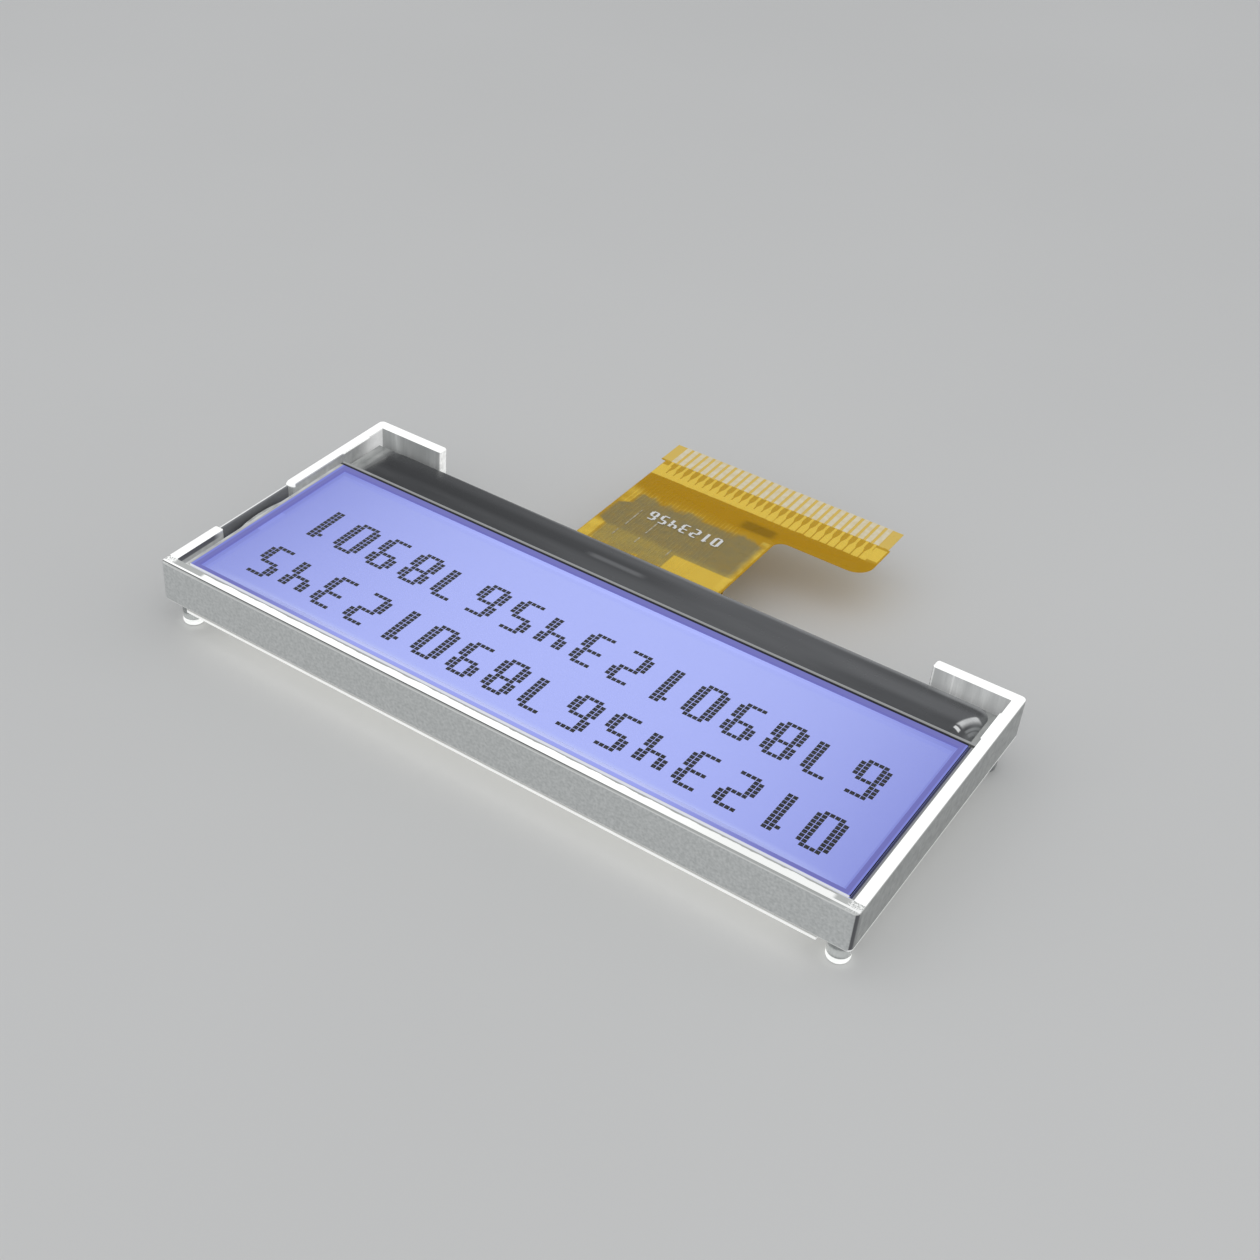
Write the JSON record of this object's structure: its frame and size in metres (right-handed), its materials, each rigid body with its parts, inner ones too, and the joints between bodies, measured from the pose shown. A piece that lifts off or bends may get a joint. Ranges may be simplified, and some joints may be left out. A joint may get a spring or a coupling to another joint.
{
  "type": "lcd display module",
  "caption": "Backlit dot-matrix liquid crystal module: glass cell in a clear light guide tray with locating pegs, a silicone-covered contact ledge and an amber flex tail.",
  "frame": {"origin": "middle of the four locating pegs, on the face of the board that they stand in", "axes": "+X along the rows of characters as they are read, +Y up the rows, +Z out of the display; the flex tail leaves towards -Y"},
  "size_m": [0.0666, 0.0462, 0.0068],
  "materials": {
    "clear_acrylic": "clear, frosted outside",
    "white_tape": "matt",
    "reflector_white": "satin",
    "diffuser_white": "frosted",
    "foam_black": "matt",
    "amber_film": "gloss",
    "amber_cover": "gloss",
    "led_white": "satin",
    "phosphor_yellow": "satin",
    "tin": "bright",
    "rear_film": "gloss",
    "glass": "clear",
    "seal_violet": "gloss",
    "seal_clear": "gloss",
    "lit_blue": "lit from behind",
    "dot_black": "matt",
    "front_film": "gloss",
    "silicon": "polished",
    "bond_film": "satin",
    "silicone_black": "gloss",
    "copper": "satin",
    "gold": "satin",
    "white_ink": "matt"
  },
  "bodies": {
    "root": {"light_guide_frame": "clear_acrylic", "reflector_tape": "white_tape", "reflector_sheet": "reflector_white", "diffuser_film": "diffuser_white", "ledge_tape": "foam_black", "led_flex": "amber_film", "led_housings": "led_white", "led_phosphors": "phosphor_yellow", "led_solder": "tin", "rear_polariser": "rear_film", "rear_glass": "glass", "cell_seal": "seal_violet", "end_seal": "seal_clear", "liquid_crystal": "lit_blue", "dark_dots": "dot_black", "front_glass": "glass", "front_polariser": "front_film", "driver_chip": "silicon", "chip_bond": "bond_film", "flex_bond": "bond_film", "silicone_bead": "silicone_black", "flex_base": "amber_film", "flex_copper": "copper", "flex_coverlay": "amber_cover", "flex_pads": "gold", "flex_marking": "white_ink", "tail_solder": "tin"}
  },
  "joints": []
}
